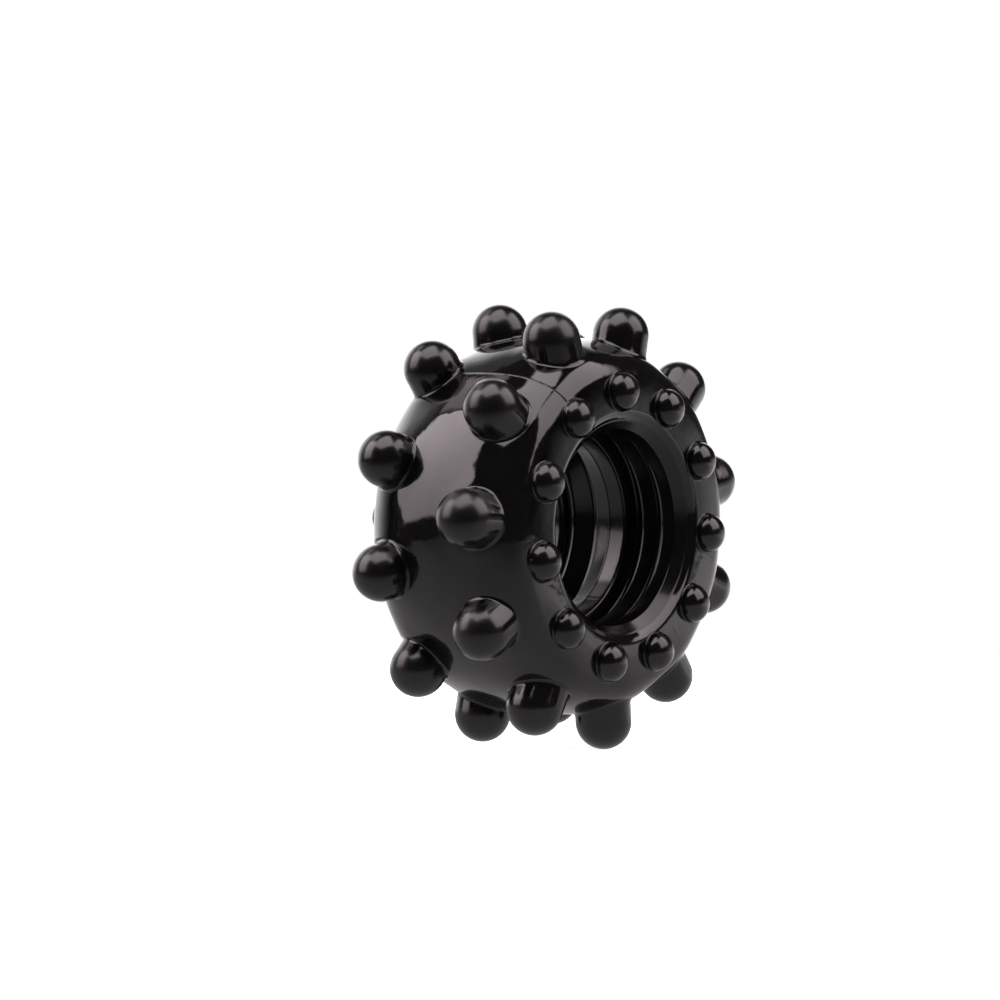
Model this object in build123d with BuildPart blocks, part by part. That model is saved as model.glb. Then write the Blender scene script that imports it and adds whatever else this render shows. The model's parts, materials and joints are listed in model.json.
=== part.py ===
"""Studded elastomer ring: a barrel-shaped body with a ribbed bore and four rings of domed nubs.

The real ring is one soft moulding. Here each moulded feature is a solid of its own, and the features meet
face to face: the body, a lip at each mouth of the bore, three ribs inside the bore, and the nubs.

Millimetres. The origin is on the bore's axis, half way through the ring. The bore runs along Y, the front
face looks along -Y, and +Z is up. Angles round the bore are measured from +X towards +Z.
"""
import os
from math import sqrt

from build123d import *

# Body: a gently curved crown that runs into a rounder shoulder on each side
CROWN_RADIUS = 20.5  # at the middle of the ring
CROWN_CURVE = 28.0  # radius of the crown's curve, along the bore
CROWN_WIDTH = 11.0
RING_WIDTH = 21.0  # from flat face to flat face
SHOULDER_RADIUS = 17.33  # where the shoulder's curve meets each face before the edge is rounded
EDGE_ROUNDING = 1.2

# Bore
BORE_RADIUS = 10.3  # at the lips and on the centre rib
WALL_RADIUS = 12.1  # the plain wall that the lips and ribs stand on
LIP_LAND = 1.9  # straight part of each lip at the bore's radius
BEVEL_DEPTH = 1.6  # from the face down to the lip's land
LIP_FLANK = 0.4  # slope of the lip's inner side, along the bore
CENTRE_RIB_CREST = 4.2
CENTRE_RIB_BASE = 5.2
SIDE_RIB_PLACE = 4.2  # the sharp crest of each side rib, from the middle of the ring
SIDE_RIB_RADIUS = 10.5  # the side ribs stop just short of the bore's radius
SIDE_RIB_SLOPE = 2.1  # from its crest the rib slopes gently outwards, towards the lip
SIDE_RIB_FALL = 0.6  # and loses this much of its height
SIDE_RIB_INNER_FLANK = 0.5
SIDE_RIB_OUTER_FLANK = 0.2
CREST_ROUNDING = 0.25

# Nubs: every ring of nubs has the same count, and each ring is half a pitch from the ring beside it
NUBS_PER_RING = 11
FIRST_NUB_ANGLE = 177.2
CROWN_NUB_RADIUS = 3.05
CROWN_NUB_PLACE = 6.05  # from the middle of the ring, along the bore
CROWN_NUB_REACH = 24.2  # from the bore's axis to the nub's tip
FACE_NUB_RADIUS = 2.3  # where it meets the face
FACE_NUB_HEIGHT = 1.85
FACE_NUB_PITCH_RADIUS = 14.5

HALF_WIDTH = RING_WIDTH / 2
PITCH = 360 / NUBS_PER_RING
LIP_OUTER = HALF_WIDTH - BEVEL_DEPTH
LIP_INNER = LIP_OUTER - LIP_LAND


def save(part, name):
    """Labels a finished piece and writes it as its own STEP file."""
    part.label = name
    export_step(part, f"parts/{name}.step")


def nub_angles(ring_offset):
    """The angles of one ring of nubs, which starts ring_offset pitches after the first nub."""
    return [FIRST_NUB_ANGLE + (ring_offset + index) * PITCH for index in range(NUBS_PER_RING)]


def save_ring_of_nubs(nub, name, ring_offset):
    """Turns a nub that stands at the top of the ring to each of its places round the bore."""
    for number, angle in enumerate(nub_angles(ring_offset), start=1):
        save(nub.rotate(Axis.Y, 90 - angle), f"{name}_{number:02d}")


def ring_of(points, rounded):
    """Turns a closed outline of (radius, distance along the bore) points round the bore.

    rounded gives the radius of the corners that are rounded.
    """
    with BuildPart() as bead:
        with BuildSketch(Plane.XY) as section:
            with BuildLine():
                Polyline(*points, close=True)
            make_face()
            crest = section.vertices().filter_by(lambda corner: abs(corner.X - rounded) < 1e-6)
            fillet(crest, CREST_ROUNDING)
        revolve(axis=Axis.Y)
    return bead.part


def centre_rib():
    """The broad rib in the middle of the bore."""
    outline = [
        (WALL_RADIUS, -CENTRE_RIB_BASE / 2),
        (BORE_RADIUS, -CENTRE_RIB_CREST / 2),
        (BORE_RADIUS, CENTRE_RIB_CREST / 2),
        (WALL_RADIUS, CENTRE_RIB_BASE / 2),
    ]
    return ring_of(outline, BORE_RADIUS)


def side_rib():
    """The rib between the centre rib and the rear lip: steep on its inner side, gently sloping outwards."""
    shoulder = SIDE_RIB_PLACE + SIDE_RIB_SLOPE
    outline = [
        (WALL_RADIUS, SIDE_RIB_PLACE - SIDE_RIB_INNER_FLANK),
        (SIDE_RIB_RADIUS, SIDE_RIB_PLACE),
        (SIDE_RIB_RADIUS + SIDE_RIB_FALL, shoulder),
        (WALL_RADIUS, shoulder + SIDE_RIB_OUTER_FLANK),
    ]
    return ring_of(outline, SIDE_RIB_RADIUS)


def mouth_lip():
    """The lip at the rear mouth of the bore: a bevel that leads in from the face, a land and a flank."""
    with BuildPart() as lip:
        with BuildSketch(Plane.XY) as section:
            with BuildLine():
                Polyline(
                    (WALL_RADIUS, HALF_WIDTH),
                    (BORE_RADIUS, LIP_OUTER),
                    (BORE_RADIUS, LIP_INNER),
                    (WALL_RADIUS, LIP_INNER - LIP_FLANK),
                    close=True,
                )
            make_face()
            inner_corner = section.vertices().group_by(Axis.X)[0].sort_by(Axis.Y)[0]
            fillet(inner_corner, CREST_ROUNDING)
        revolve(axis=Axis.Y)
    return lip.part


def crown_nub(place):
    """A nub at the top of the ring: a dome on a short round stem that starts on the crown's surface."""
    with BuildPart() as nub:
        with BuildSketch(Plane.XY.offset(WALL_RADIUS)):
            with Locations((0, place)):
                Circle(CROWN_NUB_RADIUS)
        extrude(amount=CROWN_NUB_REACH - CROWN_NUB_RADIUS - WALL_RADIUS)
        with Locations((0, place, CROWN_NUB_REACH - CROWN_NUB_RADIUS)):
            Sphere(CROWN_NUB_RADIUS)
        add(ring_body.part, mode=Mode.SUBTRACT)
    return nub.part


def face_nub():
    """A low dome that stands on the rear face at the top of the ring."""
    dome_radius = (FACE_NUB_RADIUS**2 + FACE_NUB_HEIGHT**2) / (2 * FACE_NUB_HEIGHT)
    with BuildPart() as nub:
        with Locations((0, HALF_WIDTH + FACE_NUB_HEIGHT - dome_radius, FACE_NUB_PITCH_RADIUS)):
            Sphere(dome_radius, rotation=(-90, 0, 0))
        split(bisect_by=Plane.XZ.offset(-HALF_WIDTH), keep=Keep.BOTTOM)
    return nub.part


os.makedirs("parts", exist_ok=True)

# The body: a barrel between two flat faces, with a plain hole along Y.
crown_half = CROWN_WIDTH / 2
crown_edge = CROWN_RADIUS - CROWN_CURVE + sqrt(CROWN_CURVE**2 - crown_half**2)
with BuildPart() as ring_body:
    with BuildSketch(Plane.XY) as body_section:
        with BuildLine():
            crown = ThreePointArc((crown_edge, -crown_half), (CROWN_RADIUS, 0), (crown_edge, crown_half))
            rear = TangentArc(crown @ 1, (SHOULDER_RADIUS, HALF_WIDTH), tangent=crown % 1)
            front = TangentArc(crown @ 0, (SHOULDER_RADIUS, -HALF_WIDTH), tangent=-(crown % 0))
            Polyline(rear @ 1, (WALL_RADIUS, HALF_WIDTH), (WALL_RADIUS, -HALF_WIDTH), front @ 1)
        make_face()
        edges = body_section.vertices().filter_by(lambda corner: abs(corner.X - SHOULDER_RADIUS) < 1e-6)
        fillet(edges, EDGE_ROUNDING)
    revolve(axis=Axis.Y)
save(ring_body.part, "ring_body")

# The bore: a lip at each mouth and three ribs between them.
rear_lip = mouth_lip()
save(rear_lip, "rear_lip")
save(rear_lip.mirror(Plane.XZ), "front_lip")
save(centre_rib(), "centre_rib")
rear_rib = side_rib()
save(rear_rib, "rear_rib")
save(rear_rib.mirror(Plane.XZ), "front_rib")

# The nubs: two rings on the crown and one on each face, each staggered against its neighbour.
save_ring_of_nubs(crown_nub(-CROWN_NUB_PLACE), "front_crown_nub", 0)
save_ring_of_nubs(crown_nub(CROWN_NUB_PLACE), "rear_crown_nub", 0.5)
rear_face_nub = face_nub()
save_ring_of_nubs(rear_face_nub, "rear_face_nub", 0)
save_ring_of_nubs(rear_face_nub.mirror(Plane.XZ), "front_face_nub", 0.5)
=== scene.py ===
"""Looks of the studded elastomer ring: every moulded feature as smooth glossy black rubber, on a pale floor.

The ring's own sizes are in millimetres and become metres where a mesh is made. The camera and the studio are
in metres. The ring's axis is Y, its front face looks along -Y, and angles round the bore are measured from +X
towards +Z.
"""
import json
from math import asin, atan2, cos, degrees, hypot, pi, radians, sin, sqrt, tan

import bpy
import numpy as np
from mathutils import Matrix, Quaternion, Vector


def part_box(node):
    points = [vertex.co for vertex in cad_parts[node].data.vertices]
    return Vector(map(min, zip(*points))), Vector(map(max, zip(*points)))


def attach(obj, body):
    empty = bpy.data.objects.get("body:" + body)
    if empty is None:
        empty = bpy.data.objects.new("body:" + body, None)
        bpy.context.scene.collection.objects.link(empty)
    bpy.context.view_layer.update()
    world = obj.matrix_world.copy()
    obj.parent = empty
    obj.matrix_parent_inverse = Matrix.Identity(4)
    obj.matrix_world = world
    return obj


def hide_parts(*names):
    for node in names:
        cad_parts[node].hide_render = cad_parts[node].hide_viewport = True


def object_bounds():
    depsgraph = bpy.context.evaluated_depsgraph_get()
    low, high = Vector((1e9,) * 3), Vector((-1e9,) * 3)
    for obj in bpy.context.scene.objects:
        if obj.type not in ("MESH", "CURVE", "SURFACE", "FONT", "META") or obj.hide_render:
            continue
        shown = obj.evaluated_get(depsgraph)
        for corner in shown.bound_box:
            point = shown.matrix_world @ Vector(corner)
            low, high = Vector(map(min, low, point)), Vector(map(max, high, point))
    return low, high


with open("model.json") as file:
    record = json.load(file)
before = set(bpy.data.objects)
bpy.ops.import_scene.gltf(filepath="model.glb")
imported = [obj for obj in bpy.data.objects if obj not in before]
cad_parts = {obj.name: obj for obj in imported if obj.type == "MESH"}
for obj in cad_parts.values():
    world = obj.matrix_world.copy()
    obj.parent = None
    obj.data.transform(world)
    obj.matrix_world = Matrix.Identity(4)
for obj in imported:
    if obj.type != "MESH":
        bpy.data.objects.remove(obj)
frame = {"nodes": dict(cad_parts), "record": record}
cad_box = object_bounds()

MM = 0.001
BODY = "root"

# ---------------------------------------------------------------- sizes from the frame
CROWN_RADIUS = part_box("ring_body")[1].x / MM
HALF_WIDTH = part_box("ring_body")[1].y / MM
BORE_RADIUS = frame["record"]["mounts"][0]["dims"]["r_mm"]
WALL_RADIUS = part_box("centre_rib")[1].x / MM
CENTRE_RIB_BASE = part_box("centre_rib")[1].y / MM
SIDE_RIB_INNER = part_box("rear_rib")[0].y / MM
SIDE_RIB_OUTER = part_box("rear_rib")[1].y / MM
LIP_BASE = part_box("rear_lip")[0].y / MM

# ---------------------------------------------------------------- the body's outline
CROWN_CURVE = 28.0  # radius of the crown's own curve, along the bore
CROWN_HALF = 5.5  # the crown's curve reaches this far on each side
SHOULDER_CURVE = 10.0  # the shoulder curves harder than the crown
EDGE_ROUNDING = 3.0  # and turns into the face with this radius
FACE_CURVE = 30.0  # the faces are very slightly domed
FACE_TOP_RADIUS = 13.2  # where each face is highest
CROWN_STEPS = 30  # steps along each of the outline's arcs
SHOULDER_STEPS = 24
EDGE_STEPS = 18
FACE_STEPS = 20
MOUTH_RADIUS = WALL_RADIUS + 0.1  # the corner between a face and its bevel
MOUTH_ROUNDING = 1.2
BEVEL_DEPTH = 1.6
BEVEL_SHARE = 0.35  # the body's skin ends this far down the bevel, and the lip's skin goes on
BODY_STEP = 0.45  # longest step along the body's outline

# ---------------------------------------------------------------- the bore's outline
LIP_DRAFT = 0.2  # each lip's land opens a little towards its mouth
LIP_FLANK = 0.4
LIP_OUTER_ROUNDING = 0.3
LIP_INNER_ROUNDING = 0.6
STEP_PLACE = (SIDE_RIB_OUTER + LIP_BASE) / 2  # a lip's lining meets its side rib's on a narrow step
STEP_RADIUS = WALL_RADIUS - 0.75
STEP_HALF = 0.12  # it is flat this far from its middle, towards the lip
STEP_ROUNDING = 0.08
SIDE_RIB_RADIUS = 10.5
SIDE_RIB_FALL = 0.45  # what a side rib loses in height from its crest to its outer edge
SIDE_RIB_EDGE = 0.25  # from the middle of the step to the rib's outer edge
SIDE_RIB_EDGE_ROUNDING = 0.15
SIDE_RIB_CREST_ROUNDING = 0.5
SIDE_RIB_FOOT = 0.05  # its inner foot lies this much nearer to the ring's middle than the CAD's
FRONT_CREST = 0.6  # from a side rib's foot to its crest: the rear rib leans further outwards
REAR_CREST = 1.7
GROOVE_MIDDLE = (CENTRE_RIB_BASE + SIDE_RIB_INNER) / 2  # a side rib's lining meets the centre rib's here
GROOVE_ROUNDING = 0.45
CENTRE_RIB_FLANK = 0.5
REAR_DRAFT = 0.3  # the centre rib's two halves slope away from its middle line
REAR_ROUNDING = 0.4
FRONT_DRAFT = 0.06
FRONT_ROUNDING = 0.3
CORE_LINE_HEIGHT = 0.05  # the fine ridge where the mould's core halves meet
CORE_LINE_FOOT = 0.12  # from its middle to its foot
CORE_LINE_TOP = 0.04  # and to the edge of its top
CORE_LINE_FOOT_ROUNDING = 0.04
CORE_LINE_TOP_ROUNDING = 0.02
BORE_STEP = 0.3  # longest step along the outlines in the bore
BACK_RADIUS = WALL_RADIUS + 0.3  # the pieces' hidden sides, behind the bore's wall
BACK_INSET = 1.0  # the body's hidden side stops this far short of each face
BACK_STEP = 1.0

# ---------------------------------------------------------------- nubs
NUB_SEGMENTS = 72
CROWN_NUB_STEM = 3.05  # radius of the stem and of the dome on it
CROWN_NUB_FILLET = 0.35
CROWN_DOME_STEPS = 28
CROWN_FILLET_STEPS = 8
STEM_SHARES = (0.25, 0.5, 0.75, 1.0)  # where the mesh has rings along the stem
FLARE_HEIGHT = 0.12  # the barrel swells this much round a crown nub
FLARE_REACH = 1.3
FLARE_FADE = 3.0  # the swell grows to its full height over this much radius, outwards from the face's top
FACE_NUB_BASE = 2.12
FACE_NUB_FILLET = 0.16
FACE_NUB_DROP = 0.08  # it stays this much lower than the CAD's, so that its uneven skin stays inside
FACE_DOME_STEPS = 24
FACE_DOME_POWER = 0.92  # below 1, the dome is a little blunter than an ellipse
FACE_FILLET_STEPS = 6
FOOT_DEPTH = 0.4  # the nubs' feet end this deep inside the body
FACE_ROOT_DEPTH = 0.6  # and the middle of a face nub's foot is this far under the face

# ---------------------------------------------------------------- the skin
PARTING_ANGLE = 128.2  # the mould's halves meet on a plane that goes through the bore's axis at this angle
PARTING_HEIGHT = 0.05
PARTING_WIDTH = 0.07
PARTING_VARIATION = 0.45  # the ridge's height varies by this share
PARTING_RHYTHM = (5.1, 3.3, 2.3)  # how fast it varies, in radians per millimetre
WAVE_HEIGHT = 0.022  # the soft skin isn't quite even
WAVE_COUNT = 14
SHORTEST_WAVE = 5.0
WAVE_SPREAD = 9.0  # the longest wave is almost this much longer
WAVE_STRIDE = 5  # mixes the lengths over the directions
WAVE_PHASE = 2.4

# ---------------------------------------------------------------- the meshes
SEGMENTS_ROUND = 420
FINE_ANGLES = (PARTING_ANGLE, 311.5)  # finer close to these. The plane's lower side, 308.2, is only coarse
FINE_OFFSETS = (-0.5, -0.35, -0.2, -0.1, 0, 0.1, 0.2, 0.35, 0.5)
FINE_CLEARANCE = 0.6  # the evenly spaced angles keep this far away from them
CORNER_STEPS = 8  # steps round each rounded corner of an outline
SHARP_ANGLE = 50  # degrees above which an edge isn't shaded smooth


# ---------------------------------------------------------------- outlines
def arc(centre, radius, start, end, steps):
    """Points (radius from the axis, distance along it) of an arc, from one angle to another in degrees."""
    turn = np.radians(np.linspace(start, end, steps + 1))
    return np.stack([centre[0] + radius * np.cos(turn), centre[1] + radius * np.sin(turn)], axis=1)


def circle_crossing(first, first_radius, second, second_radius):
    """The crossing of two circles that lies further from the axis."""
    gap = np.subtract(second, first)
    distance = np.hypot(*gap)
    along = (first_radius**2 - second_radius**2 + distance**2) / (2 * distance)
    across = sqrt(first_radius**2 - along**2)
    unit = gap / distance
    middle = np.array(first) + unit * along
    choices = [middle + across * side * np.array([-unit[1], unit[0]]) for side in (-1, 1)]
    return max(choices, key=lambda point: point[0])


def heading(start, end):
    """The direction from one outline point to another, in degrees."""
    return degrees(atan2(end[1] - start[1], end[0] - start[0]))


def outer_outline():
    """The rear half of the body's outside: from the crown's middle over the shoulder to the face's top."""
    crown_centre = np.array([CROWN_RADIUS - CROWN_CURVE, 0])
    crown_end = degrees(asin(CROWN_HALF / CROWN_CURVE))
    inward = CROWN_CURVE - SHOULDER_CURVE
    shoulder_centre = crown_centre + inward * np.array([cos(radians(crown_end)), sin(radians(crown_end))])
    face_centre = np.array([FACE_TOP_RADIUS, HALF_WIDTH - FACE_CURVE])
    edge_centre = circle_crossing(
        shoulder_centre, SHOULDER_CURVE - EDGE_ROUNDING, face_centre, FACE_CURVE - EDGE_ROUNDING
    )
    shoulder_end = heading(shoulder_centre, edge_centre)
    face_start = heading(face_centre, edge_centre)
    return np.concatenate([
        arc(crown_centre, CROWN_CURVE, 0, crown_end, CROWN_STEPS),
        arc(shoulder_centre, SHOULDER_CURVE, crown_end, shoulder_end, SHOULDER_STEPS)[1:],
        arc(edge_centre, EDGE_ROUNDING, shoulder_end, face_start, EDGE_STEPS)[1:],
        arc(face_centre, FACE_CURVE, face_start, 90, FACE_STEPS)[1:],
    ])


OUTER = outer_outline()


def crown_height(place):
    """The body's radius at a distance along the axis."""
    return np.interp(np.abs(place), OUTER[:, 1], OUTER[:, 0])


def face_height(radius):
    """How far the face and shoulder stand from the ring's middle plane, at a radius."""
    return np.interp(radius, OUTER[::-1, 0], OUTER[::-1, 1])


def rounded(corners):
    """An open outline through corners (radius, place, rounding), with an arc at all but the two ends."""
    points = [np.array(corners[0][:2], float)]
    for before, corner, after in zip(corners, corners[1:], corners[2:]):
        here = np.array(corner[:2], float)
        back = np.array(before[:2], float) - here
        on = np.array(after[:2], float) - here
        back /= np.hypot(*back)
        on /= np.hypot(*on)
        half = np.arccos(np.clip(back @ on, -1, 1)) / 2
        reach = corner[2] / np.tan(half)
        middle = here + (back + on) / np.hypot(*(back + on)) * corner[2] / np.sin(half)
        start = here + back * reach - middle
        end = here + on * reach - middle
        sweep = pi - 2 * half
        for step in range(CORNER_STEPS + 1):
            share = step / CORNER_STEPS
            points.append(middle + (start * sin((1 - share) * sweep) + end * sin(share * sweep)) / sin(sweep))
    points.append(np.array(corners[-1][:2], float))
    return np.array(points)


def divided(points, longest):
    """The same outline with no step longer than given."""
    result = [points[0]]
    for start, end in zip(points, points[1:]):
        parts = max(1, int(np.ceil(np.hypot(*(end - start)) / longest)))
        for part in range(1, parts + 1):
            result.append(start + (end - start) * part / parts)
    return np.array(result)


# ---------------------------------------------------------------- where the nubs are
def node_centre(node):
    """The middle of a CAD node's surface, in millimetres."""
    mesh = frame["nodes"][node].data
    total = Vector((0, 0, 0))
    area = 0.0
    for face in mesh.polygons:
        total += face.center * face.area
        area += face.area
    return total / area / MM


def crown_nub_places():
    """Angle round the bore, place along it and reach from it, of every crown nub."""
    places = {}
    for node, solid in frame["nodes"].items():
        if "_crown_nub_" in node:
            low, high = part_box(node)
            centre = node_centre(node)
            reach = max(hypot(vertex.co.x, vertex.co.z) for vertex in solid.data.vertices) / MM
            places[node] = (atan2(centre.z, centre.x), (low.y + high.y) / 2 / MM, reach)
    return places


CROWN_NUBS = crown_nub_places()


def flare(distance):
    """How far the barrel swells at a distance from a crown nub's stem."""
    return FLARE_HEIGHT * np.exp(-((np.maximum(distance, 0) / FLARE_REACH) ** 2))


# ---------------------------------------------------------------- the skin's small unevenness
def waves():
    """Directions, wave numbers and phases of the gentle undulation, spread evenly over the sphere."""
    rows = []
    for index in range(WAVE_COUNT):
        height = 1 - 2 * (index + 0.5) / WAVE_COUNT
        turn = index * pi * (3 - sqrt(5))  # the golden angle
        flat = sqrt(1 - height**2)
        length = SHORTEST_WAVE + WAVE_SPREAD * ((index * WAVE_STRIDE) % WAVE_COUNT) / WAVE_COUNT
        rows.append((flat * cos(turn), height, flat * sin(turn), 2 * pi / length, index * WAVE_PHASE))
    return rows


WAVES = waves()


def unevenness(points):
    """How far the skin stands out at each point, in millimetres."""
    total = np.zeros(len(points))
    for x, y, z, number, phase in WAVES:
        total += np.sin((points @ np.array([x, y, z])) * number + phase)
    return WAVE_HEIGHT * total / sqrt(len(WAVES))


def nub_flare(points):
    """The barrel swells gently round the root of each crown nub."""
    radius = np.hypot(points[:, 0], points[:, 2])
    swell = np.zeros(len(points))
    for angle, place, _ in CROWN_NUBS.values():
        aside = points[:, 2] * cos(angle) - points[:, 0] * sin(angle)
        same_side = points[:, 0] * cos(angle) + points[:, 2] * sin(angle) > 0
        swell += same_side * flare(np.hypot(aside, points[:, 1] - place) - CROWN_NUB_STEM)
    return swell * np.clip(radius - FACE_TOP_RADIUS, 0, FLARE_FADE) / FLARE_FADE


def parting_ridge(points):
    """Height of the mould's parting line, a fine ridge in a plane through the bore's axis."""
    angle = radians(PARTING_ANGLE)
    off_plane = points @ np.array([-sin(angle), 0, cos(angle)])
    along, aside, slow = PARTING_RHYTHM
    rhythm = np.sin(points[:, 1] * along + points[:, 0] * aside) * np.sin(points[:, 1] * slow + 1)
    return PARTING_HEIGHT * (1 + PARTING_VARIATION * rhythm) * np.exp(-((off_plane / PARTING_WIDTH) ** 2))


# ---------------------------------------------------------------- meshes
def mesh_object(name, points, faces):
    """A smooth mesh object from points in millimetres."""
    mesh = bpy.data.meshes.new(name)
    mesh.from_pydata((np.asarray(points) * MM).tolist(), [], faces)
    mesh.validate()
    mesh.polygons.foreach_set("use_smooth", [True] * len(mesh.polygons))
    mesh.set_sharp_from_angle(angle=radians(SHARP_ANGLE))
    mesh.update()
    piece = bpy.data.objects.new(name, mesh)
    bpy.context.scene.collection.objects.link(piece)
    return piece


def round_angles():
    """Angles round the ring, evenly spaced, with more of them close to the fine angles."""
    even = np.linspace(0, 360, SEGMENTS_ROUND, endpoint=False)
    close = [angle + offset for angle in FINE_ANGLES for offset in FINE_OFFSETS]
    far = [a for a in even if all(abs(a - angle) > FINE_CLEARANCE for angle in FINE_ANGLES)]
    return np.radians(np.sort(np.array(far + close)))


def outline_normals(outline):
    """Unit normals of a closed outline, in its own plane."""
    step = np.roll(outline, -1, axis=0) - np.roll(outline, 1, axis=0)
    normal = np.stack([step[:, 1], -step[:, 0]], axis=1)
    return normal / np.maximum(np.hypot(normal[:, 0], normal[:, 1]), 1e-9)[:, None]


def lathe(name, visible, hidden, lift_inward=False):
    """A closed solid turned round the Y axis, with an uneven skin and the parting line on its visible side.

    These lift the skin along its normals or, in the bore, straight towards the axis, because fine corners
    would turn inside out otherwise.
    """
    outline = np.concatenate([visible, hidden])
    shown = np.concatenate([np.ones(len(visible)), np.zeros(len(hidden))])
    area = np.sum(outline[:, 0] * np.roll(outline[:, 1], -1) - np.roll(outline[:, 0], -1) * outline[:, 1])
    if lift_inward:
        normals = np.tile((-1.0, 0.0), (len(outline), 1))
    else:
        normals = outline_normals(outline) * (1 if area > 0 else -1)
    angles = round_angles()
    cos_a = np.cos(angles)[:, None]
    sin_a = np.sin(angles)[:, None]

    def turned(values):
        along = np.repeat(values[None, :, 1], len(angles), axis=0)
        return np.stack([values[:, 0] * cos_a, along, values[:, 0] * sin_a], axis=2).reshape(-1, 3)

    points = turned(outline)
    out = turned(normals)
    lift = (unevenness(points) + parting_ridge(points) + nub_flare(points)) * np.tile(shown, len(angles))
    points = points + out * lift[:, None]
    count = len(outline)
    faces = []
    for column in range(len(angles)):
        here = column * count
        there = (column + 1) % len(angles) * count
        for row in range(count):
            after = (row + 1) % count
            quad = (here + row, there + row, there + after, here + after)
            faces.append(quad if area < 0 else quad[::-1])
    return mesh_object(name, points, faces)


def capped_rings(name, rings, tip, foot):
    """A closed solid from stacked rings of points, with a point at its tip and one under its foot."""
    count = rings.shape[1]
    points = np.concatenate([rings.reshape(-1, 3), [tip, foot]])
    tip_index = len(points) - 2
    foot_index = len(points) - 1
    last = (len(rings) - 1) * count
    faces = []
    for step in range(count):
        after = (step + 1) % count
        faces.append((tip_index, step, after))
        faces.append((foot_index, last + after, last + step))
        for ring in range(len(rings) - 1):
            upper = ring * count
            lower = upper + count
            faces.append((upper + step, lower + step, lower + after, upper + after))
    return mesh_object(name, points, faces)


# ---------------------------------------------------------------- the body and the bore's linings
def bevel_end():
    """Where the body's skin hands over to the lip's, on the bevel that leads into the bore."""
    top = np.array([MOUTH_RADIUS, HALF_WIDTH])
    land = np.array([BORE_RADIUS, HALF_WIDTH - BEVEL_DEPTH])
    return tuple(top + (land - top) * BEVEL_SHARE)


def make_body():
    """The barrel wall: crown, shoulders, slightly domed faces and the rounded edges of the bore's mouths."""
    mouth = rounded([
        tuple(OUTER[-1]) + (0,),
        (MOUTH_RADIUS, HALF_WIDTH, MOUTH_ROUNDING),
        bevel_end() + (0,),
    ])
    rear = np.concatenate([OUTER, mouth[1:]])
    front = rear * np.array([1, -1])
    outside = np.concatenate([front[::-1], rear[1:]])
    back_end = HALF_WIDTH - BACK_INSET
    hidden = np.array([(BACK_RADIUS, back_end), (BACK_RADIUS, -back_end)])
    return lathe("ring_body_skin", divided(outside, BODY_STEP), divided(hidden, BACK_STEP))


def make_bore_lining(name, side, corners):
    """One of the linings inside the bore, for the rear (side 1) or turned over to the front (side -1)."""
    visible = divided(rounded([(r, side * y, rounding) for r, y, rounding in corners]), BORE_STEP)
    first = visible[0]
    last = visible[-1]
    hidden = np.array([(BACK_RADIUS, last[1]), (BACK_RADIUS, first[1])])
    return lathe(name, visible, hidden, lift_inward=True)


def make_lip(name, side):
    """The bevel's lower part, the land that grips, and the steep step down behind it."""
    return make_bore_lining(name, side, [
        bevel_end() + (0,),
        (BORE_RADIUS + LIP_DRAFT, HALF_WIDTH - BEVEL_DEPTH, LIP_OUTER_ROUNDING),
        (BORE_RADIUS, LIP_BASE + LIP_FLANK, LIP_INNER_ROUNDING),
        (STEP_RADIUS, STEP_PLACE + STEP_HALF, STEP_ROUNDING),
        (STEP_RADIUS, STEP_PLACE, 0),
    ])


def make_side_rib(name, side, crest):
    """A rib that slopes gently from its crest to its lip, and steeply into the groove by the centre rib."""
    return make_bore_lining(name, side, [
        (STEP_RADIUS, STEP_PLACE, 0),
        (SIDE_RIB_RADIUS + SIDE_RIB_FALL, STEP_PLACE - SIDE_RIB_EDGE, SIDE_RIB_EDGE_ROUNDING),
        (SIDE_RIB_RADIUS, SIDE_RIB_INNER + crest, SIDE_RIB_CREST_ROUNDING),
        (WALL_RADIUS, SIDE_RIB_INNER - SIDE_RIB_FOOT, GROOVE_ROUNDING),
        (WALL_RADIUS, GROOVE_MIDDLE, 0),
    ])


def make_centre_rib():
    """The broad rib in the middle, with the fine line where the mould's core halves meet."""
    def half(side, draft, rounding):
        return [
            (WALL_RADIUS, side * GROOVE_MIDDLE, 0),
            (WALL_RADIUS, side * CENTRE_RIB_BASE, GROOVE_ROUNDING),
            (BORE_RADIUS + draft, side * (CENTRE_RIB_BASE - CENTRE_RIB_FLANK), rounding),
            (BORE_RADIUS, side * CORE_LINE_FOOT, CORE_LINE_FOOT_ROUNDING),
            (BORE_RADIUS - CORE_LINE_HEIGHT, side * CORE_LINE_TOP, CORE_LINE_TOP_ROUNDING),
        ]

    rear = half(1, REAR_DRAFT, REAR_ROUNDING)
    front = half(-1, FRONT_DRAFT, FRONT_ROUNDING)
    return make_bore_lining("centre_rib_skin", 1, rear + front[::-1])


# ---------------------------------------------------------------- the nubs
def compass(angle):
    """Unit vectors away from the bore's axis and round it, at an angle."""
    return np.array([cos(angle), 0, sin(angle)]), np.array([-sin(angle), 0, cos(angle)])


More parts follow.
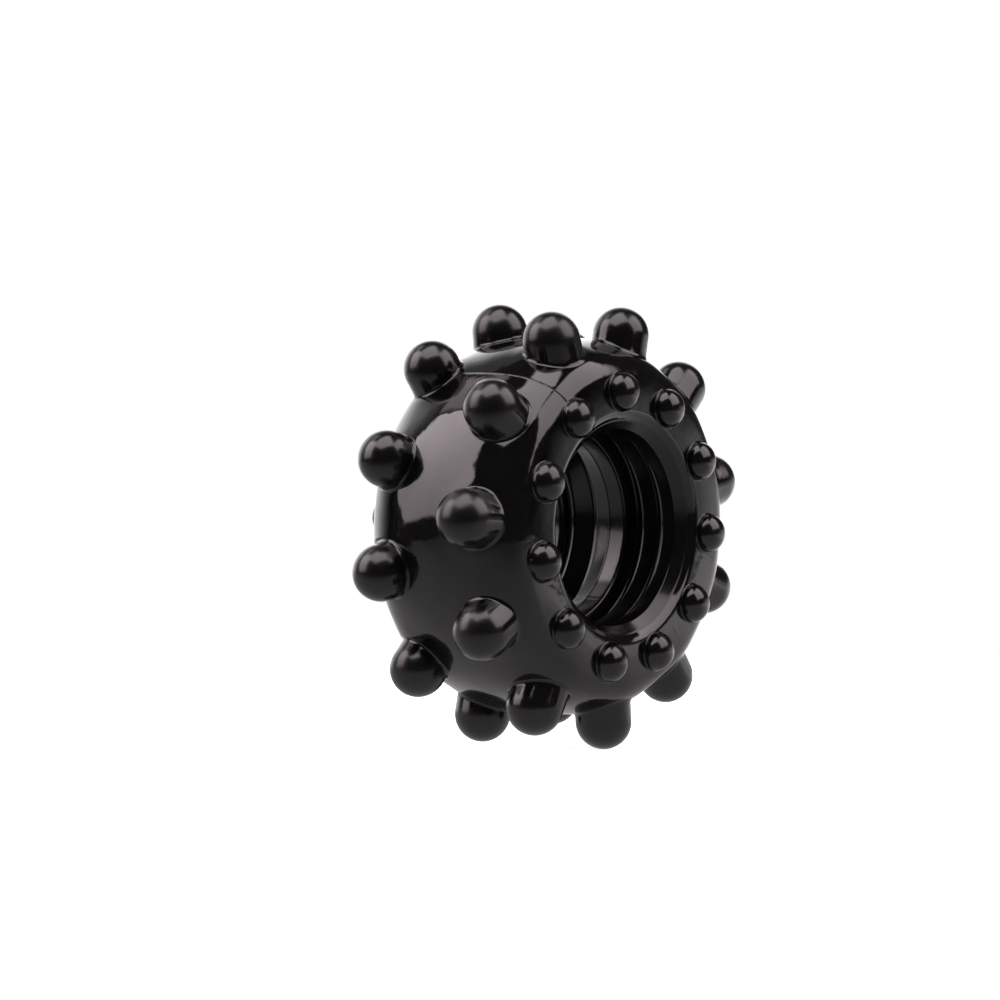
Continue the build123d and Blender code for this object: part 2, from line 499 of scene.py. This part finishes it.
def make_crown_nub(node):
    """A domed nub on the crown: its root flares into the barrel with a small fillet."""
    angle, place, reach = CROWN_NUBS[node]
    outward, sideways = compass(angle)
    along = np.array([0, 1.0, 0])
    turn = np.linspace(0, 2 * pi, NUB_SEGMENTS, endpoint=False)
    dome_centre = reach - CROWN_NUB_STEM

    def surface(distance):
        """The body's height under a circle round the nub's axis."""
        across = distance * np.cos(turn)
        radius = crown_height(place + distance * np.sin(turn))
        return np.sqrt(radius**2 - across**2) + flare(distance - CROWN_NUB_STEM)

    levels = []  # distance from the nub's axis, height over the bore's axis, share of the skin's unevenness
    for step in range(1, CROWN_DOME_STEPS + 1):
        tilt = step / CROWN_DOME_STEPS * pi / 2
        spread = CROWN_NUB_STEM * sin(tilt)
        levels.append((spread, np.full(NUB_SEGMENTS, dome_centre + CROWN_NUB_STEM * cos(tilt)), 1.0))
    stem_foot = surface(CROWN_NUB_STEM) + CROWN_NUB_FILLET
    for share in STEM_SHARES:
        levels.append((CROWN_NUB_STEM, dome_centre + (stem_foot - dome_centre) * share, 1.0))
    for step in range(1, CROWN_FILLET_STEPS + 1):
        tilt = step / CROWN_FILLET_STEPS * pi / 2
        spread = CROWN_NUB_STEM + CROWN_NUB_FILLET * (1 - cos(tilt))
        levels.append((spread, surface(spread) + CROWN_NUB_FILLET * (1 - sin(tilt)), 1.0))
    foot = CROWN_NUB_STEM + CROWN_NUB_FILLET
    levels.append((foot, surface(foot) - FOOT_DEPTH, 0.0))
    rings = []
    for spread, height, lifted in levels:
        ring = (
            outward * height[:, None]
            + sideways * (spread * np.cos(turn))[:, None]
            + along * (place + spread * np.sin(turn))[:, None]
        )
        rings.append(ring + outward * (unevenness(ring) * lifted)[:, None])
    tip = outward * reach + along * place
    tip = tip + outward * unevenness(tip[None])[0]
    root = outward * (dome_centre - CROWN_NUB_STEM) + along * place
    return capped_rings(node + "_skin", np.array(rings)[:, ::-1], tip, root)


def make_face_nub(node):
    """A low domed nub on a flat face, with a fine fillet round its root."""
    low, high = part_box(node)
    centre = (low + high) / 2 / MM
    side = 1 if centre.y > 0 else -1
    height = (high.y - low.y) / MM - FACE_NUB_DROP
    pitch_radius = hypot(centre.x, centre.z)
    outward, sideways = compass(atan2(centre.z, centre.x))
    away = np.array([0, side, 0])  # out of the face
    turn = np.linspace(0, 2 * pi, NUB_SEGMENTS, endpoint=False)

    def surface(distance):
        """The face's height under a circle round the nub's axis."""
        radius = np.hypot(pitch_radius + distance * np.cos(turn), distance * np.sin(turn))
        return face_height(radius)

    levels = []  # distance from the nub's axis, height over the ring's middle, share of the skin's unevenness
    for step in range(1, FACE_DOME_STEPS + 1):
        tilt = step / FACE_DOME_STEPS * pi / 2
        spread = FACE_NUB_BASE * sin(tilt) ** FACE_DOME_POWER
        rise = (height - FACE_NUB_FILLET) * cos(tilt)
        base = surface(spread) * (1 - cos(tilt)) + HALF_WIDTH * cos(tilt)
        levels.append((spread, base + FACE_NUB_FILLET + rise, 1.0))
    for step in range(1, FACE_FILLET_STEPS + 1):
        tilt = step / FACE_FILLET_STEPS * pi / 2
        spread = FACE_NUB_BASE + FACE_NUB_FILLET * (1 - cos(tilt))
        levels.append((spread, surface(spread) + FACE_NUB_FILLET * (1 - sin(tilt)), 1.0))
    foot = FACE_NUB_BASE + FACE_NUB_FILLET
    levels.append((foot, surface(foot) - FOOT_DEPTH, 0.0))
    rings = []
    for spread, stand, lifted in levels:
        ring = (
            outward * (pitch_radius + spread * np.cos(turn))[:, None]
            + sideways * (spread * np.sin(turn))[:, None]
            + away * stand[:, None]
        )
        rings.append(ring + away * (unevenness(ring) * lifted)[:, None])
    tip = outward * pitch_radius + away * (HALF_WIDTH + height)
    tip = tip + away * unevenness(tip[None])[0]
    root = outward * pitch_radius + away * (HALF_WIDTH - FACE_ROOT_DEPTH)
    rings = np.array(rings)
    return capped_rings(node + "_skin", rings if side < 0 else rings[:, ::-1], tip, root)


# ---------------------------------------------------------------- materials
class Shading:
    """A material and the nodes that its look is worked out with, from places in the object's own frame."""

    def __init__(self, name):
        self.material = bpy.data.materials.new(name)
        self.material.use_nodes = True
        self.nodes = self.material.node_tree.nodes
        self.links = self.material.node_tree.links

    def place(self):
        """Where each point is on the object."""
        return self.nodes.new("ShaderNodeTexCoord").outputs["Object"]

    def math(self, operation, first, second):
        """One sum, each side of it a number or another node's output."""
        node = self.nodes.new("ShaderNodeMath")
        node.operation = operation
        for socket, value in zip(node.inputs, (first, second)):
            if isinstance(value, (int, float)):
                socket.default_value = value
            else:
                self.links.new(value, socket)
        return node.outputs[0]

    def ramp(self, value, start, end, low=0.0, high=1.0, smooth=True):
        """Goes from low to high while the value goes from start to end."""
        node = self.nodes.new("ShaderNodeMapRange")
        if smooth:
            node.interpolation_type = "SMOOTHSTEP"
        node.inputs["From Min"].default_value = start
        node.inputs["From Max"].default_value = end
        node.inputs["To Min"].default_value = low
        node.inputs["To Max"].default_value = high
        self.links.new(value, node.inputs["Value"])
        return node.outputs["Result"]

    def noise(self, scale, detail, rough):
        """A cloudy pattern."""
        node = self.nodes.new("ShaderNodeTexNoise")
        node.inputs["Scale"].default_value = scale
        node.inputs["Detail"].default_value = detail
        node.inputs["Roughness"].default_value = rough
        self.links.new(self.place(), node.inputs["Vector"])
        return node.outputs["Fac"]

    def bump(self, height, strength, distance):
        """A fine relief."""
        node = self.nodes.new("ShaderNodeBump")
        node.inputs["Strength"].default_value = strength
        node.inputs["Distance"].default_value = distance
        self.links.new(height, node.inputs["Height"])
        return node

    def reach(self):
        """How far each point is from the bore's axis."""
        flat = self.nodes.new("ShaderNodeVectorMath")
        flat.operation = "MULTIPLY"
        flat.inputs[1].default_value = (1, 0, 1)
        self.links.new(self.place(), flat.inputs[0])
        length = self.nodes.new("ShaderNodeVectorMath")
        length.operation = "LENGTH"
        self.links.new(flat.outputs["Vector"], length.inputs[0])
        return length.outputs["Value"]


RUBBER_BLACK = (0.0018, 0.0016, 0.0017, 1)
POLISH_CLOUDS = (260, 4, 0.6)  # scale, detail and roughness of a noise pattern
POLISH_RANGE = (0.35, 0.75)  # the part of the pattern that counts, from glossiest to dullest
POLISH_SPREAD = 1.8  # the dullest spots are this many times as rough as the glossiest
SATIN_CLOUDS = (95, 1, 0.5)
SATIN_RANGE = (0.35, 0.65)
SATIN_START = (CROWN_RADIUS - 0.3) * MM  # the nubs turn from glossy to satin between these two radii
SATIN_END = (CROWN_RADIUS + 1.4) * MM
SATIN_LEAST = 0.35  # the share of satin in its glossiest spots
RIPPLE_CLOUDS = (420, 2, 0.5)
RIPPLE_DEPTH = 0.00012
GRAIN_CLOUDS = (2600, 3, 0.6)
GRAIN_DEPTH = 0.000012
GRAIN_SHARE = 0.5  # of the ripple's strength


def elastomer(name, roughness, ripple, satin=None, ior=1.45):
    """Glossy black moulded rubber with a faint ripple and an uneven polish.

    Satin, where given, is the roughness far from the bore's axis: the nubs' tips are duller than their roots.
    """
    shading = Shading(name)
    shader = shading.nodes["Principled BSDF"]
    shader.inputs["Base Color"].default_value = RUBBER_BLACK
    shader.inputs["IOR"].default_value = ior
    dullest = roughness * POLISH_SPREAD
    polish = shading.ramp(shading.noise(*POLISH_CLOUDS), *POLISH_RANGE, roughness, dullest, smooth=False)
    if satin is not None:
        dullness = shading.ramp(shading.reach(), SATIN_START, SATIN_END, 0.0, satin - roughness)
        spots = shading.ramp(shading.noise(*SATIN_CLOUDS), *SATIN_RANGE, SATIN_LEAST, 1.0, smooth=False)
        polish = shading.math("ADD", polish, shading.math("MULTIPLY", dullness, spots))
    shading.links.new(polish, shader.inputs["Roughness"])
    soft = shading.bump(shading.noise(*RIPPLE_CLOUDS), ripple, RIPPLE_DEPTH)
    fine = shading.bump(shading.noise(*GRAIN_CLOUDS), ripple * GRAIN_SHARE, GRAIN_DEPTH)
    shading.links.new(soft.outputs["Normal"], fine.inputs["Normal"])
    shading.links.new(fine.outputs["Normal"], shader.inputs["Normal"])
    return shading.material


def dress(piece, nodes, material):
    """Gives a piece its finish and lets it stand for its CAD nodes."""
    piece.data.materials.append(material)
    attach(piece, BODY)
    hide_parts(*nodes)


def make_ring():
    """All the visible pieces of the ring."""
    body_rubber = elastomer("body_rubber", roughness=0.05, ripple=0.25)
    bore_rubber = elastomer("bore_rubber", roughness=0.13, ripple=0.2, ior=1.38)
    nub_rubber = elastomer("nub_rubber", roughness=0.08, ripple=0.3, satin=0.27)
    face_nub_rubber = elastomer("face_nub_rubber", roughness=0.12, ripple=0.3)
    dress(make_body(), ["ring_body"], body_rubber)
    dress(make_centre_rib(), ["centre_rib"], bore_rubber)
    for end, side, crest in (("front", -1, FRONT_CREST), ("rear", 1, REAR_CREST)):
        dress(make_lip(end + "_lip_skin", side), [end + "_lip"], bore_rubber)
        dress(make_side_rib(end + "_rib_skin", side, crest), [end + "_rib"], bore_rubber)
    for node in sorted(frame["nodes"]):
        if "_crown_nub_" in node:
            dress(make_crown_nub(node), [node], nub_rubber)
        elif "_face_nub_" in node:
            dress(make_face_nub(node), [node], face_nub_rubber)


# ---------------------------------------------------------------- camera
VIEW_AZIMUTH = radians(-49.6)  # the camera stands front left of the ring, looking partly into the bore
VIEW_ELEVATION = radians(0.7)
VIEW_ROLL = radians(0.8)
VIEW_DISTANCE = 0.286
VIEW_LENS = 94.4
SENSOR_WIDTH = 36
NEAREST_SEEN = 0.01
AIM_RIGHT = 0.0056  # the ring stands right of the picture's middle and a little below it
AIM_DOWN = 0.00275


def make_camera():
    """The camera, square to the ring's place in the picture."""
    back = Vector((
        sin(VIEW_AZIMUTH) * cos(VIEW_ELEVATION), -cos(VIEW_AZIMUTH) * cos(VIEW_ELEVATION), sin(VIEW_ELEVATION)
    ))
    level = Vector((cos(VIEW_AZIMUTH), sin(VIEW_AZIMUTH), 0))
    upright = back.cross(level)
    right = level * cos(VIEW_ROLL) + upright * sin(VIEW_ROLL)
    up = upright * cos(VIEW_ROLL) - level * sin(VIEW_ROLL)
    place = back * VIEW_DISTANCE - right * AIM_RIGHT + up * AIM_DOWN
    data = bpy.data.cameras.new("camera")
    data.lens = VIEW_LENS
    data.sensor_width = SENSOR_WIDTH
    data.clip_start = NEAREST_SEEN
    camera = bpy.data.objects.new("camera", data)
    camera.matrix_world = Matrix((
        (right.x, up.x, back.x, place.x),
        (right.y, up.y, back.y, place.y),
        (right.z, up.z, back.z, place.z),
        (0, 0, 0, 1),
    ))
    bpy.context.scene.collection.objects.link(camera)
    bpy.context.scene.camera = camera


# ---------------------------------------------------------------- studio
STUDIO_TURN = radians(40)  # world direction that the camera looks along
SOFTBOX_DISTANCE = 0.6
OVERHEAD_LENGTH = 1.25  # the overhead softbox, in shares of its height above the ring
OVERHEAD_WIDTH = 1.0
OVERHEAD_FORWARD = 0.44  # its middle is this much nearer to the camera
OVERHEAD_LEFT = 0.25  # and this much to the left
OVERHEAD_TURN = 118.0
BACKDROP_RADIUS = 0.7
BACKDROP_FOOT = -0.03
SWEEP_LEFT = (78, 40)  # where the white sweep begins and is full, in degrees left of the line of sight
SWEEP_RIGHT = (-30, -12)
SWEEP_TOP = 52  # degrees above the ring
SWEEP_FADE = (46, 20)  # it brightens from the first height down to the second
SWEEP_LEVELS = (0.25, 2.1)
LOW_END_LEFT = -10
LOW_END_RIGHT = (-92, -66)
LOW_END_TOP = 12
LOW_END_FADE = (9, 0)
LOW_END_LEVELS = (0.1, 1.2)
LOW_END_GAP = 0.01  # it stands this far behind the sweep
FLOOR_RADIUS = 0.16
TABLE_RADIUS = 0.40
TABLE_BRIGHT_SIDE = -20.0  # the table brightens behind the ring, a little to the right
TABLE_OFFSET = 0.28
TABLE_DROP = 0.0002  # the table's card lies this far under the floor
TABLE_NEAR = (-0.13, -0.02)  # distances from the ring towards the bright side, between which it brightens
TABLE_NEAR_LEVELS = (0.1, 0.62)
TABLE_FAR = (-0.01, 0.14)  # and brightens further, by 1
DISC_SEGMENTS = 96
FLOOR_GREY = (0.8, 0.8, 0.8, 1)
FLOOR_ROUGHNESS = 0.9
FLOOR_GLOW = 0.9  # its own light, so that it stays white round the ring's shadow
DIM_ROOM = (0.05, 0.047, 0.049, 1)
WHITE = (1, 1, 1, 1)
PINK = (1, 0.88, 0.92)
PALE_PINK = (1, 0.95, 0.97)
SWEEP_WHITE = (1, 0.99, 1)


def direction(turn, rise):
    """A unit vector, from degrees to the left of the camera's line of sight and degrees above the floor."""
    angle = STUDIO_TURN + radians(turn)
    return Vector((cos(angle) * cos(radians(rise)), sin(angle) * cos(radians(rise)), sin(radians(rise))))


class Glow(Shading):
    """A light-giving material whose strength is worked out from places on the object."""

    def __init__(self, name, colour):
        super().__init__(name)
        self.nodes.clear()
        self.emission = self.nodes.new("ShaderNodeEmission")
        self.emission.inputs["Color"].default_value = (*colour, 1)
        out = self.nodes.new("ShaderNodeOutputMaterial")
        self.links.new(self.emission.outputs["Emission"], out.inputs["Surface"])
        split = self.nodes.new("ShaderNodeSeparateXYZ")
        self.links.new(self.place(), split.inputs["Vector"])
        self.x, self.y, self.z = split.outputs

    def bearing(self):
        """The angle round the object's own upright axis."""
        return self.math("ARCTAN2", self.y, self.x)

    def shine(self, *levels):
        """Uses the product of the levels as the strength."""
        product = levels[0]
        for level in levels[1:]:
            product = self.math("MULTIPLY", product, level)
        self.links.new(product, self.emission.inputs["Strength"])


def stage_card(name, points, faces, place, turn, glow):
    """A card of the studio that lights the ring and shows in its reflections, but not to the camera."""
    mesh = bpy.data.meshes.new(name)
    mesh.from_pydata(points, [], faces)
    card = bpy.data.objects.new(name, mesh)
    card.location = place
    card.rotation_mode = "QUATERNION"
    card.rotation_quaternion = turn
    bpy.context.scene.collection.objects.link(card)
    mesh.materials.append(glow.material)
    card.visible_camera = False
    card.visible_shadow = False
    return card


def panel(name, colour, size, strength, feather, foot, place, turn):
    """A flat softbox: soft along its edges, and down to the foot's share of its strength at the bottom."""
    half_width = size[0] / 2
    half_height = size[1] / 2
    glow = Glow(name + "_glow", colour)
    across = glow.ramp(glow.math("ABSOLUTE", glow.x, 0.0), half_width, half_width * (1 - feather))
    along = glow.ramp(glow.math("ABSOLUTE", glow.y, 0.0), half_height, half_height * (1 - feather))
    fall = glow.ramp(glow.y, -half_height, half_height / 2, foot * strength, strength)
    glow.shine(across, along, fall)
    corners = [(-half_width, -half_height, 0), (half_width, -half_height, 0)]
    corners += [(half_width, half_height, 0), (-half_width, half_height, 0)]
    stage_card(name, corners, [(0, 1, 2, 3)], place, turn, glow)


def standing_softbox(name, turn, rise, roll=0, **lamp):
    """A softbox on a stand, facing the ring. Lamp is the panel's size, strength, feather and foot."""
    toward = direction(turn, rise)
    facing = toward.to_track_quat("Z", "Y") @ Quaternion((0, 0, 1), radians(roll))
    panel(name, PINK, place=toward * SOFTBOX_DISTANCE, turn=facing, **lamp)


def overhead_softbox():
    """A large softbox hung level above the ring, nearer to the camera and a little to the left."""
    height = SOFTBOX_DISTANCE
    size = (OVERHEAD_LENGTH * height, OVERHEAD_WIDTH * height)
    place = (direction(180, 0) * OVERHEAD_FORWARD + direction(90, 0) * OVERHEAD_LEFT) * height
    place.z = height
    turn = Quaternion((0, 0, 1), STUDIO_TURN + radians(OVERHEAD_TURN))
    panel("overhead_softbox", PALE_PINK, size, strength=4.4, feather=0.1, foot=1.0, place=place, turn=turn)


def curved_card(name, radius, left, right, top, glow):
    """An upright card round the ring, between two bearings and up to a height."""
    columns = 48
    rows = 8
    points = []
    for column in range(columns + 1):
        bearing = radians(left + (right - left) * column / columns)
        for row in range(rows + 1):
            height = BACKDROP_FOOT + (top - BACKDROP_FOOT) * row / rows
            points.append((radius * cos(bearing), radius * sin(bearing), height))
    faces = []
    for column in range(columns):
        for row in range(rows):
            start = column * (rows + 1) + row
            faces.append((start, start + 1, start + rows + 2, start + rows + 1))
    stage_card(name, points, faces, (0, 0, 0), Quaternion((0, 0, 1), STUDIO_TURN), glow)


def make_backdrop():
    """The white sweep behind the ring and its low end on the right, seen only in the ring's reflections."""
    def height(rise):
        return BACKDROP_RADIUS * tan(radians(rise))

    sweep = Glow("backdrop_glow", SWEEP_WHITE)
    sweep.shine(
        sweep.ramp(sweep.bearing(), *map(radians, SWEEP_LEFT)),
        sweep.ramp(sweep.bearing(), *map(radians, SWEEP_RIGHT)),
        sweep.ramp(sweep.z, *map(height, SWEEP_FADE), *SWEEP_LEVELS),
    )
    curved_card("backdrop", BACKDROP_RADIUS, SWEEP_LEFT[0], SWEEP_RIGHT[0], height(SWEEP_TOP), sweep)

    low_end = Glow("low_backdrop_glow", SWEEP_WHITE)
    low_end.shine(
        low_end.ramp(low_end.bearing(), *map(radians, LOW_END_RIGHT)),
        low_end.ramp(low_end.z, *map(height, LOW_END_FADE), *LOW_END_LEVELS),
    )
    radius = BACKDROP_RADIUS + LOW_END_GAP
    curved_card("low_backdrop", radius, LOW_END_LEFT, LOW_END_RIGHT[0], height(LOW_END_TOP), low_end)


def disc_mesh(radius):
    """The rim's points and the one face of a flat round plate."""
    turns = [step * pi / (DISC_SEGMENTS / 2) for step in range(DISC_SEGMENTS)]
    return [(radius * cos(turn), radius * sin(turn), 0) for turn in turns], [range(DISC_SEGMENTS)]


def make_floor():
    """The white floor that the ring stands on with its lowest nub. It doesn't show in the rubber."""
    points, faces = disc_mesh(FLOOR_RADIUS)
    mesh = bpy.data.meshes.new("floor")
    mesh.from_pydata(points, [], faces)
    floor = bpy.data.objects.new("floor", mesh)
    floor.location.z = cad_box[0][2]
    bpy.context.scene.collection.objects.link(floor)
    material = bpy.data.materials.new("floor_white")
    material.use_nodes = True
    shader = material.node_tree.nodes["Principled BSDF"]
    shader.inputs["Base Color"].default_value = FLOOR_GREY
    shader.inputs["Roughness"].default_value = FLOOR_ROUGHNESS
    shader.inputs["Specular IOR Level"].default_value = 0
    shader.inputs["Emission Color"].default_value = WHITE
    shader.inputs["Emission Strength"].default_value = FLOOR_GLOW
    mesh.materials.append(material)
    floor.visible_glossy = False


def make_table():
    """What the rubber mirrors in the floor's place: a card just under it that darkens towards the camera."""
    glow = Glow("table_glow", PALE_PINK)
    lean = radians(TABLE_BRIGHT_SIDE)
    ahead = glow.math("MULTIPLY", glow.x, cos(lean))
    aside = glow.math("MULTIPLY", glow.y, sin(lean))
    spot = glow.math("ADD", ahead, aside)
    near = glow.ramp(spot, TABLE_NEAR[0] - TABLE_OFFSET, TABLE_NEAR[1] - TABLE_OFFSET, *TABLE_NEAR_LEVELS)
    far = glow.ramp(spot, TABLE_FAR[0] - TABLE_OFFSET, TABLE_FAR[1] - TABLE_OFFSET)
    glow.shine(glow.math("ADD", near, far))
    place = direction(TABLE_BRIGHT_SIDE, 0) * TABLE_OFFSET
    place.z = cad_box[0][2] - TABLE_DROP
    card = stage_card("table_card", *disc_mesh(TABLE_RADIUS), place, Quaternion((0, 0, 1), STUDIO_TURN), glow)
    card.visible_diffuse = False


def make_world():
    """White to the camera, a dim studio to everything else."""
    world = bpy.data.worlds.new("studio")
    bpy.context.scene.world = world
    world.use_nodes = True
    nodes = world.node_tree.nodes
    links = world.node_tree.links
    nodes.clear()
    seen = nodes.new("ShaderNodeLightPath")
    dim = nodes.new("ShaderNodeBackground")
    dim.inputs["Color"].default_value = DIM_ROOM
    white = nodes.new("ShaderNodeBackground")
    white.inputs["Color"].default_value = WHITE
    mix = nodes.new("ShaderNodeMixShader")
    links.new(seen.outputs["Is Camera Ray"], mix.inputs["Fac"])
    links.new(dim.outputs["Background"], mix.inputs[1])
    links.new(white.outputs["Background"], mix.inputs[2])
    out = nodes.new("ShaderNodeOutputWorld")
    links.new(mix.outputs["Shader"], out.inputs["Surface"])


def make_studio():
    """The dim room, the floor, the white sweep behind, and softboxes left, right, rear left and overhead."""
    make_world()
    make_floor()
    make_table()
    make_backdrop()
    standing_softbox(
        "left_softbox", turn=96, rise=29, roll=12, size=(0.40, 0.62), strength=5.8, feather=0.12, foot=0.5
    )
    standing_softbox(
        "right_softbox", turn=-102, rise=40, size=(0.58, 0.62), strength=4.2, feather=0.2, foot=0.8
    )
    standing_softbox(
        "rear_softbox", turn=56, rise=53, roll=-14, size=(0.25, 0.18), strength=1.6, feather=0.3, foot=1.0
    )
    overhead_softbox()


make_ring()
make_camera()
make_studio()
bpy.context.scene.view_settings.view_transform = "Standard"
